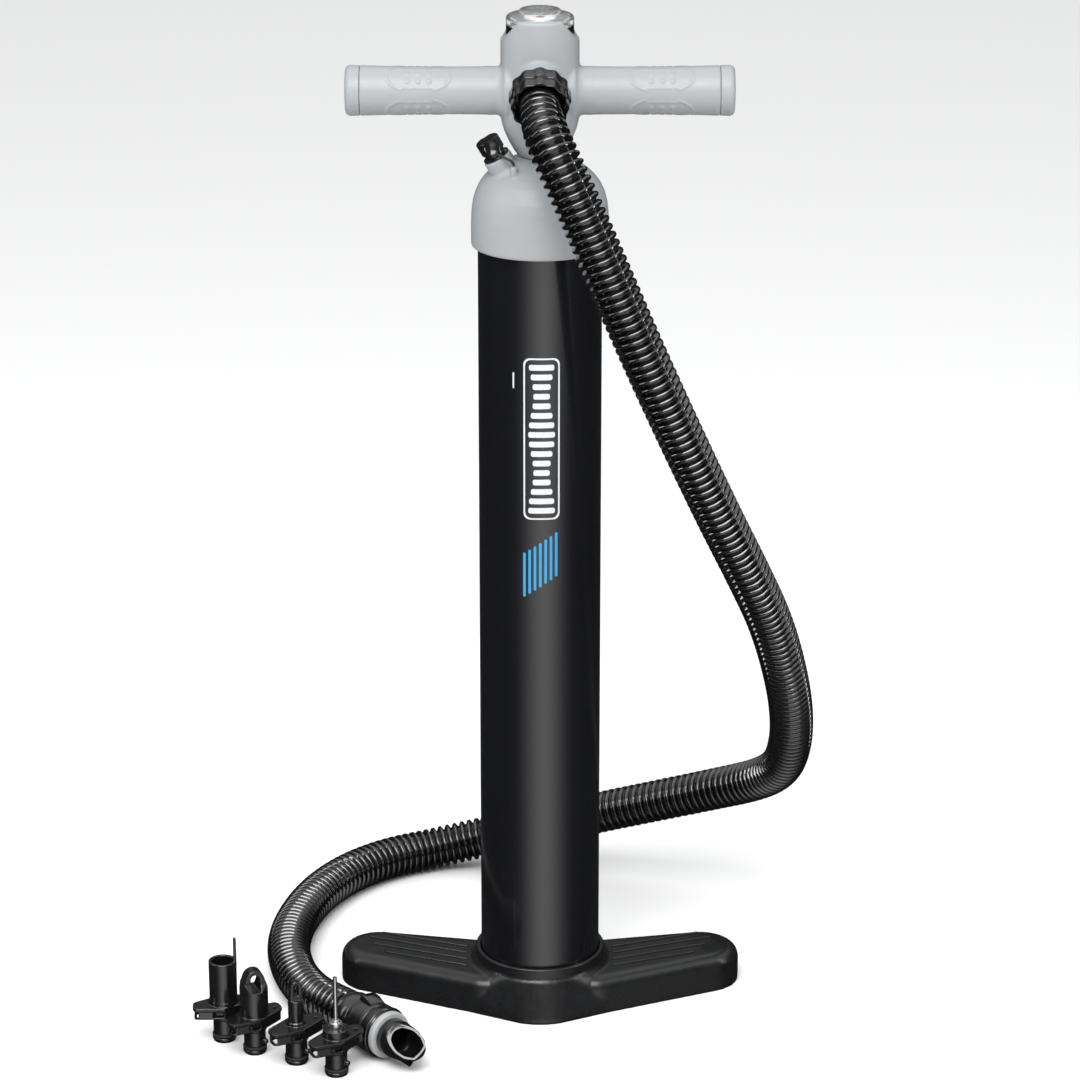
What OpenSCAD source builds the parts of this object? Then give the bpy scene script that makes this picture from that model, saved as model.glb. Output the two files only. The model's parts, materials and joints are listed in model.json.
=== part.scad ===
// Double action hand pump: a foot-held barrel with a T handle, pressure gauge,
// corrugated hose, bayonet nozzle and four loose valve adaptors.
// The origin is on the floor under the barrel axis. +Z is up and the nose of the foot points to -Y.

/* [Barrel] */
// Outer radius of the barrel tube
barrel_r = 38; // [36:0.5:38]
// Wall thickness of the barrel tube
barrel_wall = 2; // [1.5:0.25:2]
// Height of the barrel tube's top end
barrel_top = 508; // [500:1:508]

/* [Foot] */
// Height of the two foot wings
foot_h = 24; // [20:1:26]
// Distance of each wing tip's centre from the barrel axis
tip_x = 105.8; // [95:0.2:120]
// Radius of the wing tips
tip_r = 24.2; // [20:0.1:26]
// Radius of the top edge of the wings
foot_edge = 8; // [3:0.5:9]
// Height of the collar's rim around the barrel
collar_top = 34; // [32:1:40]
// Number of tread ribs on each wing
tread_count = 4; // [3:1:4]

/* [Handle] */
// Height of the grip axis with the handle down
grip_z = 597.4; // [596:0.1:598]
// Distance of each grip's end from the barrel axis
grip_end_x = 117; // [112:1:130]
// Radius of the hub
hub_r = 23.75; // [23.5:0.05:24]
// Downward tilt of the hose port
port_tilt = 20; // [18:1:21]
// Number of lobes around the hose nut
nut_lobes = 12; // [8:1:16]

/* [Rod] */
// Outer radius of the piston rod
rod_r = 10; // [9.5:0.1:10]
// Radial running clearance of the rod and its guide
running = 0.05; // [0.02:0.01:0.08]

/* [Hose] */
// Outer radius of the corrugated hose
hose_r = 14.25; // [13:0.25:14.5]

/* [Adaptors] */
// Height of an adaptor's flange plate above the floor
flange_z = 25; // [24:0.5:26]
// Direction of three adaptors' long sides, from +X
flange_turn = 24; // [18:1:28]

/* [Hidden] */
$fn = 64;

light_plastic = [0.77, 0.79, 0.8];
black_plastic = [0.1, 0.1, 0.11];
rubber = [0.16, 0.16, 0.17];
metal = [0.7, 0.71, 0.73];
brass = [0.78, 0.66, 0.38];

over = 1;                       // how far a cut runs past a face
gap = 0.3;                      // space between pieces that move on each other
bore_r = barrel_r - barrel_wall;
web_top = 8;                    // top of the foot's floor under the barrel
cap_top = 20;                   // top of the bottom cap
piston_z = 40;                  // underside of the piston with the handle down
piston_h = 18;
plate_z = 498;                  // underside of the head plate
dome_top = 557;                 // top of the dome
hub_z = 557.4;                  // underside of the hub
lens_z = 637.6;                 // underside of the gauge's lens
tip_y = 20.2;
nose_y = -15.7;
nose_r = 36;
rear_y = 12;
rear_r = 10;
sill_h = 12;                    // height of the foot round its nose
skirt_r = 43;
skirt_top = 26;
collar_r = 41.6;
seat_r = 6.5;                   // bore of the spout
spout_r = 8.85;
spout_mouth = [-26, -9.5, 559];
spout_tilt = 30;
spout_turn = 190;
port_z = 614;                   // where the port axis meets the barrel axis
port_end = 51;                  // where the hose begins along the port axis
nozzle_at = [-121, -67, 16.8];
nozzle_turn = -49.5;
hose_end = nozzle_at - gap * [cos(nozzle_turn), sin(nozzle_turn), 0];
plug_r = 12;                    // the nozzle's round shank, which enters a valve
adaptor_at = [[-200.3, -70], [-179.7, -87], [-152.6, -101], [-126.8, -117.4]];
adaptor_turn = [2, flange_turn, flange_turn, flange_turn];

// Centre line of the hose, from the handle to the nozzle: it hangs at the right,
// comes down behind the barrel and lies on the floor round to the nozzle.
hose_route = [
    [0, -port_end * cos(port_tilt), port_z - port_end * sin(port_tilt)],
    [2, -61, 590], [7, -71, 578], [16, -78, 560], [36, -82, 515], [60, -79, 458], [85, -68, 400],
    [109, -52, 345], [129, -34, 300], [144, -14, 262], [155, 9, 222], [162, 36, 183],
    [164, 65, 148], [160, 93, 119], [146, 118, 99], [116, 140, 82], [80, 156, 67], [42, 171, 52],
    [2, 186, 36], [-40, 196, 22], [-76, 192, 15], [-104, 178, 14.5], [-128, 156, 14.5],
    [-146, 128, 14.5], [-158, 96, 14.5], [-165, 60, 14.5], [-165, 24, 14.5], [-157, -12, 14.5],
    [-144, -39, 14.8], [-132, -54, 15.9], hose_end
];
// Centre line of the plug's tether, from the plug to the lug on the dome.
tether_route = [
    [-26.5, -15.9, 561.8], [-24.5, -18.5, 562], [-20, -21.6, 560.5], [-15.5, -22.5, 556.5]
];
tether_r = 0.8;

// --- helpers ---

function arc(cx, cy, r, a0, a1, n = 8) =
    [for (i = [0:n]) let (a = a0 + (a1 - a0) * i / n) [cx + r * cos(a), cy + r * sin(a)]];

function unit(v) = v / norm(v);

function tangent(path, i) =
    unit(path[min(i + 1, len(path) - 1)] - path[max(i - 1, 0)]);

// A round tube swept along path, with a radius for each point.
// The end rings are square to aim_0 and aim_1.
module sweep(path, radii, sides, aim_0, aim_1) {
    side = unit([0.6, 0.6, 0.53]);
    last = len(path) - 1;
    rings = [
        for (i = [0:last])
            let (
                t = i == 0 ? aim_0 : i == last ? aim_1 : tangent(path, i),
                u = unit(cross(side, t)),
                v = cross(t, u)
            )
            for (k = [0:sides - 1])
                path[i] + radii[i] * (cos(360 * k / sides) * u + sin(360 * k / sides) * v)
    ];
    walls = [
        for (i = [0:last - 1])
            for (k = [0:sides - 1])
                let (a = i * sides, b = a + sides, n = (k + 1) % sides)
                    [a + k, b + k, b + n, a + n]
    ];
    ends = [
        [for (k = [0:sides - 1]) k],
        [for (k = [sides - 1:-1:0]) last * sides + k]
    ];
    polyhedron(points = rings, faces = concat(ends, walls), convexity = 10);
}

module tube(r_in, r_out, z0, z1) {
    difference() {
        translate([0, 0, z0]) cylinder(r = r_out, h = z1 - z0);
        translate([0, 0, z0 - over]) cylinder(r = r_in, h = z1 - z0 + 2 * over);
    }
}

module disc(r, z0, z1) {
    translate([0, 0, z0]) cylinder(r = r, h = z1 - z0);
}

module o_ring(centre_r, thick_r, z) {
    translate([0, 0, z]) rotate_extrude() translate([centre_r, 0]) circle(r = thick_r, $fn = 24);
}

// Holes in a circle: count of them, on radius at_r.
module holes(count, at_r, r, z0, z1, turn = 0) {
    for (i = [0:count - 1])
        rotate([0, 0, turn + 360 * i / count]) translate([at_r, 0, 0]) disc(r, z0, z1);
}

// A disc with a rounded top edge.
module soft_disc(r, h, edge) {
    rotate_extrude($fn = 48)
        polygon(concat([[0, 0], [r, 0]], arc(r - edge, h - edge, edge, 0, 90, 5), [[0, h]]));
}

module at_port() {
    translate([0, 0, port_z]) rotate([90 + port_tilt, 0, 0]) children();
}

module at_spout() {
    translate(spout_mouth) rotate([0, 0, spout_turn]) rotate([0, spout_tilt, 0]) children();
}

module at_nozzle() {
    translate(nozzle_at) rotate([0, 0, nozzle_turn]) rotate([0, 90, 0]) children();
}

module at_adaptor(i) {
    translate([adaptor_at[i][0], adaptor_at[i][1], 0]) rotate([0, 0, adaptor_turn[i]]) children();
}

// --- foot and barrel ---

// Half of the foot: the raised tread from the barrel out to the tip.
module wing(side) {
    hull() {
        translate([side * tip_x, tip_y, 0]) soft_disc(tip_r, foot_h, foot_edge);
        translate([side * 35, -15.9, 0]) soft_disc(20, foot_h, foot_edge);
        translate([0, rear_y, 0]) soft_disc(rear_r, foot_h, foot_edge);
    }
}

// The blunt nose between the wings, which slopes up to the skirt round the barrel.
module nose() {
    hull() {
        for (side = [-1, 1]) translate([side * 35, -15.9, 0]) soft_disc(20, sill_h, 3);
        translate([0, nose_y, 0]) soft_disc(nose_r, sill_h / 2, 3);
        cylinder(r = skirt_r, h = skirt_top, $fn = 64);
    }
}

module wing_hollow(side) {
    wall = 4;
    difference() {
        hull() {
            translate([side * tip_x, tip_y, -over]) cylinder(r = tip_r - wall, h = foot_h - wall, $fn = 32);
            translate([side * 40, -9, -over]) cylinder(r = 17, h = foot_h - wall, $fn = 32);
        }
        disc(collar_r + 4, -2 * over, foot_h);
        translate([side * tip_x, tip_y, 0]) disc(11, -2 * over, foot_h);
        translate([side * 70, 4, 0]) disc(11, -2 * over, foot_h);
        for (x = [56, 88]) translate([side * x - 1.5, -60, -2 * over]) cube([3, 120, foot_h]);
    }
}

module tread(side) {
    rib_turn = 20.4;
    outer_x = [101, 108.5, 112, 104];
    for (i = [0:tread_count - 1]) {
        span = (outer_x[i] - 47) / cos(rib_turn);
        mirror([side < 0 ? 1 : 0, 0, 0]) translate([47, 15 - 9.4 * (3 - i), foot_h - 1])
            rotate([0, 0, rib_turn]) translate([0, -0.9, 0]) cube([span, 1.8, 1.9]);
    }
}

module base_foot() {
    color(black_plastic)
    difference() {
        union() {
            for (side = [-1, 1]) {
                wing(side);
                tread(side);
            }
            nose();
            rotate_extrude()
                polygon(concat([[0, 0], [collar_r, 0]], arc(collar_r - 1.2, collar_top - 1.2, 1.2, 0, 90, 4),
                    [[0, collar_top]]));
        }
        disc(barrel_r, web_top, collar_top + over);
        for (side = [-1, 1]) {
            wing_hollow(side);
            translate([side * tip_x, tip_y, 0]) disc(8, -over, 2);
            translate([side * 70, 4, 0]) disc(8, -over, 2);
        }
        holes(6, 18, 3, -over, web_top + over);
        holes(3, 28, 2.2, -over, web_top + over, 30);
        holes(3, 28, 4.5, -over, 4, 30);
    }
}

module sole_pads() {
    color(rubber)
    for (side = [-1, 1]) {
        translate([side * tip_x, tip_y, 0]) disc(8, 0, 2);
        translate([side * 70, 4, 0]) disc(8, 0, 2);
    }
}

module base_screws() {
    color(metal)
    for (i = [0:2])
        rotate([0, 0, 30 + 120 * i]) translate([28, 0, 0])
            difference() {
                union() {
                    disc(4, 1.2, 4);
                    disc(2, 4, 16);
                }
                translate([-2.6, -0.5, 0]) cube([5.2, 1, 2.2]);
                translate([-0.5, -2.6, 0]) cube([1, 5.2, 2.2]);
            }
}

module barrel_tube() {
    color(black_plastic) tube(bore_r, barrel_r, web_top, barrel_top);
}

module bottom_cap() {
    color(rubber)
    difference() {
        union() {
            disc(bore_r - 0.05, web_top, cap_top);
            disc(3, cap_top, 27);
            disc(5.5, 27, 29);
        }
        tube(bore_r - 3, barrel_r, 12.5, 15.5);
        holes(6, 18, 3, web_top - over, cap_top + over);
        holes(3, 28, 2, web_top - over, 17, 30);
    }
}

module bottom_seal() {
    color(rubber) o_ring(bore_r - 1.55, 1.45, 14);
}

module bottom_disc() {
    color(rubber) tube(3 + gap, 26, cap_top + gap, cap_top + 1.8);
}

// --- piston and rod ---

module rod_tube() {
    color(metal)
    difference() {
        tube(8.5, rod_r, piston_z + 4, hub_z + 24);
        for (turn = [0, 90]) rotate([0, 0, turn]) translate([-20, 0, piston_z + piston_h + 6])
            rotate([0, 90, 0]) cylinder(r = 2, h = 40);
    }
}

module inner_tube() {
    color(metal) tube(4.5, 6, piston_z - 5, hub_z + 24);
}

module piston_head() {
    piston_r = bore_r - 0.5;
    color(light_plastic)
    difference() {
        disc(piston_r, piston_z, piston_z + piston_h);
        disc(rod_r, piston_z + 4, piston_z + piston_h + over);
        disc(6, piston_z - over, piston_z + 5);
        tube(bore_r - 3, barrel_r, piston_z + 5, piston_z + 8);
        tube(bore_r - 2, barrel_r, piston_z + 11, piston_z + 15);
        tube(15, 29, piston_z + 6, piston_z + piston_h + over);
    }
}

module piston_seal() {
    color(rubber) o_ring(bore_r - 1.55, 1.45, piston_z + 6.5);
}

module wear_ring() {
    color("white") tube(bore_r - 2, bore_r - 0.08, piston_z + 11, piston_z + 15);
}

module piston_nut() {
    color(brass)
    difference() {
        translate([0, 0, piston_z - 5]) cylinder(r = 11, h = 5, $fn = 6);
        disc(6, piston_z - 6, piston_z + over);
    }
}

// --- head of the barrel ---

module head_plate() {
    color(rubber)
    difference() {
        union() {
            disc(bore_r - 0.05, plate_z, barrel_top);
            disc(barrel_r, barrel_top, barrel_top + 3);
        }
        disc(13, plate_z - over, barrel_top + 4);
        tube(bore_r - 3, barrel_r + over, plate_z + 3, plate_z + 6);
        holes(8, 24, 2.5, plate_z - over, barrel_top + 4);
    }
}

module head_seal() {
    color(rubber) o_ring(bore_r - 1.55, 1.45, plate_z + 4.5);
}

module rod_bushing() {
    color("white")
    difference() {
        union() {
            disc(13, plate_z - 6, barrel_top + 3);
            disc(16, barrel_top + 3, barrel_top + 5.5);
        }
        disc(rod_r + running, plate_z - 8, barrel_top + 8);
    }
}

module disc_retainer() {
    color(metal) tube(13, 15.5, plate_z - 6, plate_z - 4.5);
}

module head_disc() {
    color(rubber) tube(13 + gap, 30, plate_z - 1.8, plate_z - gap);
}

// The dome's outside, as radius and height: a wide rounded shoulder up to the neck.
dome_outer = concat(
    [[0, 502]],
    arc(40.6, 503.4, 1.4, -90, 0, 4),
    [[42, 516], [41.7, 523], [40.9, 529.5], [39.4, 535.2], [37.1, 540.2], [34.1, 544.4],
     [30.5, 548], [26.4, 551.1], [22, 553.8], [17.5, 555.8]],
    arc(13.5, 555.5, 1.5, 60, 90, 2),
    [[0, dome_top]]
);
// The room inside the dome, which takes the barrel's end and the head plate.
dome_inner = [
    [0, 501], [barrel_r, 501], [barrel_r, 523], [36.5, 531], [32.5, 539], [24, 546.3], [20, 547.5],
    [0, 547.5]
];

module dome_cap() {
    lug_at = [-15.5, -22.5, 541];
    color(light_plastic)
    difference() {
        union() {
            rotate_extrude($fn = 96) polygon(dome_outer);
            at_spout() {
                disc(spout_r, -22, 0);
                disc(spout_r + 1.6, -22, -9);
            }
            translate(lug_at) disc(2.2, 0, 15.2);
        }
        rotate_extrude($fn = 96) polygon(dome_inner);
        at_spout() disc(seat_r, -30, over);
        disc(12.5, 551, dome_top + over);
        disc(rod_r + 0.6, 540, 552);
    }
}

module rod_wiper() {
    color(rubber) tube(rod_r + running, 12.5, 551, dome_top - 0.4);
}

module plug_cap() {
    color(black_plastic)
    at_spout() union() {
        difference() {
            disc(seat_r - gap, -7, gap + 1);
            tube(4.4, 9, -4.2, -2);
        }
        disc(8.4, gap, 2.3);
        disc(6.4, 2.3, 4.2);
        difference() {
            disc(7.4, 4.2, 12.8);
            for (side = [-1, 1]) translate([0, side * 12.5, 9]) sphere(r = 8);
        }
    }
}

module plug_rings() {
    color(rubber) at_spout() o_ring(5.35, 0.95, -3.1);
}

module plug_tether() {
    color(rubber)
        sweep(tether_route, [for (p = tether_route) tether_r], 8,
            unit(tether_route[1] - tether_route[0]), [0, 0, -1]);
}

// --- handle ---

hub_outline = concat(
    [[rod_r, hub_z], [13.1, hub_z], [15.6, 561], [18.6, 566.5], [21.6, 573], [23.2, 578.5],
     [hub_r, 583], [hub_r, 643]],
    [[rod_r, 643]]
);

module hub_body() {
    pocket_r = 20.6;
    color(light_plastic)
    difference() {
        union() {
            intersection() {
                rotate_extrude($fn = 96) polygon(concat([[0, hub_z]], hub_outline, [[0, 643]]));
                translate([0, 40, 0]) rotate([90, 0, 0]) linear_extrude(80)
                    polygon([[-30, 550], [30, 550], [30, 628], [22.5, 629.5], [12, 643],
                        [-12, 643], [-22.5, 629.5], [-30, 628]]);
            }
            for (side = [0, 180]) rotate([0, 0, side]) translate([0, 0, grip_z]) rotate([0, 90, 0])
                rotate_extrude() polygon(concat([[0, 15], [19.5, 15], [19.5, 21.5]],
                    arc(19.5, 26.5, 5, -90, -180, 6), [[14.5, 30], [0, 30]]));
            at_port() disc(15, 18, 31.5);
        }
        disc(pocket_r, 620, 650);
        disc(2, 600, 622);
        disc(rod_r, hub_z - over, hub_z + 24);
        disc(11, hub_z + 24, 606);
        at_port() disc(9, 10, 33);
        for (side = [0, 180]) rotate([0, 0, side]) translate([0, 0, grip_z]) rotate([0, 90, 0])
            disc(9, 16, 31);
    }
}

module valve_seat() {
    color(rubber)
    difference() {
        disc(11, hub_z + 24, hub_z + 27);
        disc(4.5, hub_z + 20, hub_z + 30);
        holes(6, 7.2, 0.9, hub_z + 20, hub_z + 30);
    }
}

module outlet_disc() {
    color(rubber) disc(9.4, hub_z + 27 + gap, hub_z + 28.8);
}

// A grip from the hub's socket to the seam near its end, waisted along its length.
module grip(turn) {
    seam = 108;
    rotate([0, 0, turn]) translate([0, 0, grip_z]) rotate([0, 90, 0])
        difference() {
            rotate_extrude()
                polygon([[9, 30], [14.5, 30], [14.3, 45], [14.2, 62], [14.35, 80], [14.75, 96],
                    [15.1, seam], [9, seam]]);
            disc(9, 29, seam + over);
        }
}

module grip_end(turn) {
    color(light_plastic)
    rotate([0, 0, turn]) translate([0, 0, grip_z]) rotate([0, 90, 0]) {
        rotate_extrude()
            polygon(concat([[0, 108.2], [15.1, 108.2], [15.2, 113]],
                arc(11.2, 113, 4, 0, 90, 5), [[0, grip_end_x]]));
        disc(8.8, 104.2, 108.2);
    }
}

module grip_left() {
    color(light_plastic) grip(180);
}

module grip_right() {
    color(light_plastic) grip(0);
}

module grip_end_left() {
    grip_end(180);
}

module grip_end_right() {
    grip_end(0);
}

module grip_cores() {
    color(black_plastic)
    for (side = [0, 180]) rotate([0, 0, side]) translate([0, 0, grip_z]) rotate([0, 90, 0])
        tube(6, 9, 16, 104);
}

// --- gauge ---

module gauge_housing() {
    color(black_plastic) {
        tube(18.6, 20.4, 622, lens_z);
        disc(20.4, 620, 622.5);
        tube(16, 19, 622, 634);
        disc(1, 622, 636.2);
    }
}

module gauge_dial() {
    color("white") tube(1.4, 18.5, 634, 635);
}

module gauge_needle() {
    color("red")
    difference() {
        union() {
            disc(3, 635.4, 637.4);
            rotate([0, 0, 225]) translate([-5, -0.6, 635.6]) cube([19.5, 1.2, 0.8]);
        }
        disc(1 + running, 630, 636.5);
    }
}

module gauge_lens() {
    color([0.85, 0.9, 0.95, 0.4])
    difference() {
        rotate_extrude()
            polygon([[0, lens_z], [20.4, lens_z], [20.4, 641.8], [19.8, 643], [18.6, 643.8],
                [15, 644.8], [13, 645.2], [12.4, 647], [0, 647]]);
        disc(18.2, lens_z - over, 641.6);
        disc(11, 641, 645);
    }
}

// --- hose and its fittings ---

module hose_port() {
    color(black_plastic)
    at_port() difference() {
        union() {
            disc(9, 16, 32);
            disc(14.6, 31.5, 35);
            disc(11.5, 35, 43);
        }
        disc(7, 14, 44);
    }
}

module port_gasket() {
    color(rubber) at_port() tube(11.5, 14, 35, 36.5);
}

module hose_nut() {
    module layer(r, depth, s0, s1) {
        translate([0, 0, s0]) linear_extrude(s1 - s0)
            polygon([for (a = [0:5:355]) (r + depth * cos(nut_lobes * a)) * [cos(a), sin(a)]]);
    }
    color(black_plastic)
    at_port() difference() {
        union() {
            layer(18, 0.7, 33, 42);
            layer(17, 0.7, 42, 49.5);
        }
        disc(16.3, 32, 43.2);
        disc(15.5, 43, 51);
    }
}

module hose_cuff() {
    color(black_plastic)
    at_port() difference() {
        union() {
            disc(16, 36.5, 39.5);
            disc(11.6 + 0.3, 39.5, port_end);
            for (s = [42.4, 47.2]) tube(11, 12.4, s, s + 2.6);
        }
        disc(11.5 + 0.05, 36, 43.1);
        disc(9.5, 36, port_end + over);
    }
}

module hose() {
    aim_0 = [0, -cos(port_tilt), -sin(port_tilt)];
    aim_1 = [cos(nozzle_turn), sin(nozzle_turn), 0];
    radii = [for (i = [0:len(hose_route) - 1]) hose_r - max(0, 3 - i) * 0.6];
    color(black_plastic) sweep(hose_route, radii, 12, aim_0, aim_1);
}

module nozzle_cuff() {
    color(black_plastic)
    at_nozzle() difference() {
        union() {
            disc(hose_r, 0, 4);
            disc(15.4, 4, 14);
        }
        disc(9.5, -over, 11);
        disc(12, 11, 15);
    }
}

module nozzle_collar() {
    color(black_plastic)
    at_nozzle() difference() {
        union() {
            disc(16, 14 + gap, 30 - gap);
            rotate([0, 0, 172]) translate([12, -5.5, 15]) cube([6.8, 11, 12.5]);
        }
        disc(12 + running, 13, 31);
    }
}

module nozzle_body() {
    color(black_plastic)
    at_nozzle() difference() {
        union() {
            disc(12, 11, 30);
            disc(16, 30, 32);
            disc(16.5, 32, 38);
            disc(11.8, 38, 42.5);
            disc(plug_r, 42.5, 50);
        }
        disc(7.5, 10, 51);
    }
}

module nozzle_seal() {
    color(light_plastic) at_nozzle() tube(11.8, 15.1, 38, 42.5);
}

// The open mouth: a hollow cone cut off slantwise, so that it faces up and to the front and
// leaves a pointed lip, with a hook under it.
module nozzle_beak() {
    color(black_plastic)
    at_nozzle() {
        difference() {
            rotate_extrude()
                polygon([[0, 50], [11.8, 50], [11.5, 54], [10.7, 60], [9, 65.5], [6, 70], [0, 71]]);
            rotate_extrude()
                polygon([[0, 49], [9.4, 49], [9.4, 54], [8.6, 60], [6.8, 65], [4, 68.5], [0, 69]]);
            rotate([0, 0, 214]) translate([0, 0, 66.5]) rotate([0, 55, 0])
                translate([-40, -40, 0]) cube([80, 80, 40]);
        }
        difference() {
            translate([8.4, -3.4, 50]) cube([2.8, 3, 14.5]);
            disc(9.4, 49, 54);
        }
    }
}

// --- adaptors ---

// An adaptor's plate seen from above: a slanted six-sided shape with rounded long ends.
module flange_outline(grow = 0) {
    half = concat(
        [[-18.4 - grow, -8 - 0.4 * grow], [-16.8 - 0.4 * grow, -9.7 - grow], [0.7 + grow / 2, -9.7 - grow],
         [14.6 + grow, -1.6 - grow / 2]],
        arc(15, 3, 3.6 + grow, -50, 0, 4)
    );
    polygon(concat(half, -half));
}

// The lower half that all four adaptors share: lipped spigot, latch knob, skirt and plate.
module adaptor_base() {
    difference() {
        union() {
            disc(6.9, 0, flange_z);
            rotate_extrude() polygon([[0, 0], [6, 0], [7.5, 1.6], [7.5, 2.8], [0, 2.8]]);
            disc(7.8, 16, flange_z);
            translate([5, -5.8, 8.5]) sphere(r = 1.9, $fn = 24);
            translate([0, 0, 18]) linear_extrude(6) difference() {
                flange_outline();
                flange_outline(-1.8);
            }
            translate([0, 0, flange_z - 1]) linear_extrude(2) flange_outline(0.8);
        }
        disc(4.6, -over, flange_z - 1);
        tube(5.9, 9, 3.2, 5.4);
        for (turn = [0, 180]) rotate([0, 0, turn]) {
            translate([-6.6, -12, 19.2]) cube([7.4, 6, 3.6]);
            translate([-20, -12, 19.2]) cube([4.4, 9, 3.6]);
        }
        translate([14.4, 3, 10]) disc(1.3, 0, 20);
    }
}

module adaptor_seal(i) {
    color(rubber) at_adaptor(i) o_ring(6.75, 0.85, 4.3);
}

module adaptor_1() {
    color(black_plastic)
    at_adaptor(0) difference() {
        union() {
            adaptor_base();
            disc(8.85, flange_z, 55);
            disc(9.3, flange_z, 28.5);
            translate([6.9, 0, 0]) rotate([90, 0, 90]) linear_extrude(1.9)
                polygon([[-3, 50], [3, 50], [3, 58], [1.8, 66], [0.6, 70.5], [-0.6, 70.5], [-1.8, 66],
                    [-3, 58]]);
        }
        disc(6.8, 30, 55 + over);
        disc(4.6, -over, 31);
    }
}

// A flat loop standing on an adaptor, facing -Y. outline and hole are polygons of X and Z.
module loop(outline, hole, thick) {
    rotate([0, 0, 20 - flange_turn]) translate([0, thick / 2, 0]) rotate([90, 0, 0])
        linear_extrude(thick) difference() {
            polygon(outline);
            polygon(hole);
        }
}

module adaptor_2() {
    sides = [[-9, 40], [9, 40], [9, 43], [5.2, 49], [4, 58], [-4, 58], [-5.2, 49], [-9, 43]];
    color(black_plastic)
    at_adaptor(1) difference() {
        union() {
            adaptor_base();
            disc(9, flange_z, 41.5);
            intersection() {
                disc(9, 41, 58);
                loop(concat([[-9, 41], [9, 41], [8.8, 43.5]], arc(0, 51, 6, 12, 168, 10), [[-8.8, 43.5]]),
                    concat([[-2.6, 43.8], [2.6, 43.8], [3, 47]], arc(0, 51.3, 3, 10, 170, 8), [[-3, 47]]), 18);
                rotate([0, 0, 110 - flange_turn]) translate([0, 12, 0]) rotate([90, 0, 0])
                    linear_extrude(24) polygon(sides);
            }
        }
        disc(4.6, -over, 36);
    }
}

module adaptor_3() {
    color(black_plastic)
    at_adaptor(2) difference() {
        union() {
            adaptor_base();
            disc(4.8, flange_z, 43);
            disc(5.6, flange_z, 28);
            loop(concat([[-4.3, 42], [4.3, 42], [3.9, 46]], arc(0, 52, 3.6, 0, 180, 10), [[-3.9, 46]]),
                concat([[-1.5, 46], [1.5, 46]], arc(0, 52.2, 1.5, 0, 180, 8)), 5);
        }
        disc(2.4, -over, 36);
    }
}

module adaptor_4() {
    color(black_plastic)
    at_adaptor(3) difference() {
        union() {
            adaptor_base();
            disc(8.2, flange_z, 31.5);
        }
        disc(2, -over, 33);
        tube(5, 6.8, 30.5, 33);
    }
}

module needle_collar() {
    color(metal)
    at_adaptor(3) difference() {
        union() {
            disc(4, 31.5, 35.5);
            disc(2.4, 35.5, 37);
        }
        disc(1.3, 31, 38);
    }
}

module inflation_needle() {
    color(metal) at_adaptor(3) tube(0.7, 1.3, 31.5, 66);
}

// --- assembly ---

base_foot();
sole_pads();
base_screws();
barrel_tube();
bottom_cap();
bottom_seal();
bottom_disc();
head_plate();
head_seal();
rod_bushing();
disc_retainer();
head_disc();
dome_cap();
rod_wiper();
plug_cap();
plug_rings();
plug_tether();
rod_tube();
inner_tube();
piston_head();
piston_seal();
wear_ring();
piston_nut();
hub_body();
valve_seat();
outlet_disc();
grip_left();
grip_right();
grip_end_left();
grip_end_right();
grip_cores();
gauge_housing();
gauge_dial();
gauge_needle();
gauge_lens();
hose_port();
port_gasket();
hose_nut();
hose_cuff();
hose();
nozzle_cuff();
nozzle_collar();
nozzle_body();
nozzle_seal();
nozzle_beak();
adaptor_1();
adaptor_seal(0);  // adaptor_1_seal
adaptor_2();
adaptor_seal(1);  // adaptor_2_seal
adaptor_3();
adaptor_seal(2);  // adaptor_3_seal
adaptor_4();
adaptor_seal(3);  // adaptor_4_seal
needle_collar();
inflation_needle();
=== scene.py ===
"""The looks of the double action hand pump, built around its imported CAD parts.

Builders work in millimetres in the row frame, +Z up; every mesh is stored in metres.
"""

import json
import math

import bmesh
import bpy
from mathutils import Matrix, Vector


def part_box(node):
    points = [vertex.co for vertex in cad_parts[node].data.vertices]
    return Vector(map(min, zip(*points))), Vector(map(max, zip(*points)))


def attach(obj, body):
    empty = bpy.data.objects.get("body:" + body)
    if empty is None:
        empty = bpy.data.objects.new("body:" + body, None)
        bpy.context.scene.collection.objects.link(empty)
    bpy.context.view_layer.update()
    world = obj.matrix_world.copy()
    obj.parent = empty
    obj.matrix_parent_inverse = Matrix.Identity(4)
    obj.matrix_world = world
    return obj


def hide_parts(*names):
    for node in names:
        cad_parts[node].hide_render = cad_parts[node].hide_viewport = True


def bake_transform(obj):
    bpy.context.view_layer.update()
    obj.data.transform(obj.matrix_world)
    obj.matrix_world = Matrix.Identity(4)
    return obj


MM = 0.001
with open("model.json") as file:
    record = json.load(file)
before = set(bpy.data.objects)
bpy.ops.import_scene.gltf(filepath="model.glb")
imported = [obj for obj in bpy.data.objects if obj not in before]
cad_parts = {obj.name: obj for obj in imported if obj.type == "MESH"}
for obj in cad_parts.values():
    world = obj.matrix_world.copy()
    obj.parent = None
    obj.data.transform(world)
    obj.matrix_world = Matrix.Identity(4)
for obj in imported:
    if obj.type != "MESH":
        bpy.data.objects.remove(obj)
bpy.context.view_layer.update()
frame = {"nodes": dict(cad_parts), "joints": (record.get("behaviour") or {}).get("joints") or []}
JOINTS = {j["name"]: j for j in frame["joints"]}


# --- where things are, from the CAD ---


def low(node):
    """Lowest corner of a CAD node in millimetres."""
    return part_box(node)[0] / MM


def high(node):
    """Highest corner of a CAD node in millimetres."""
    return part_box(node)[1] / MM


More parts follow.
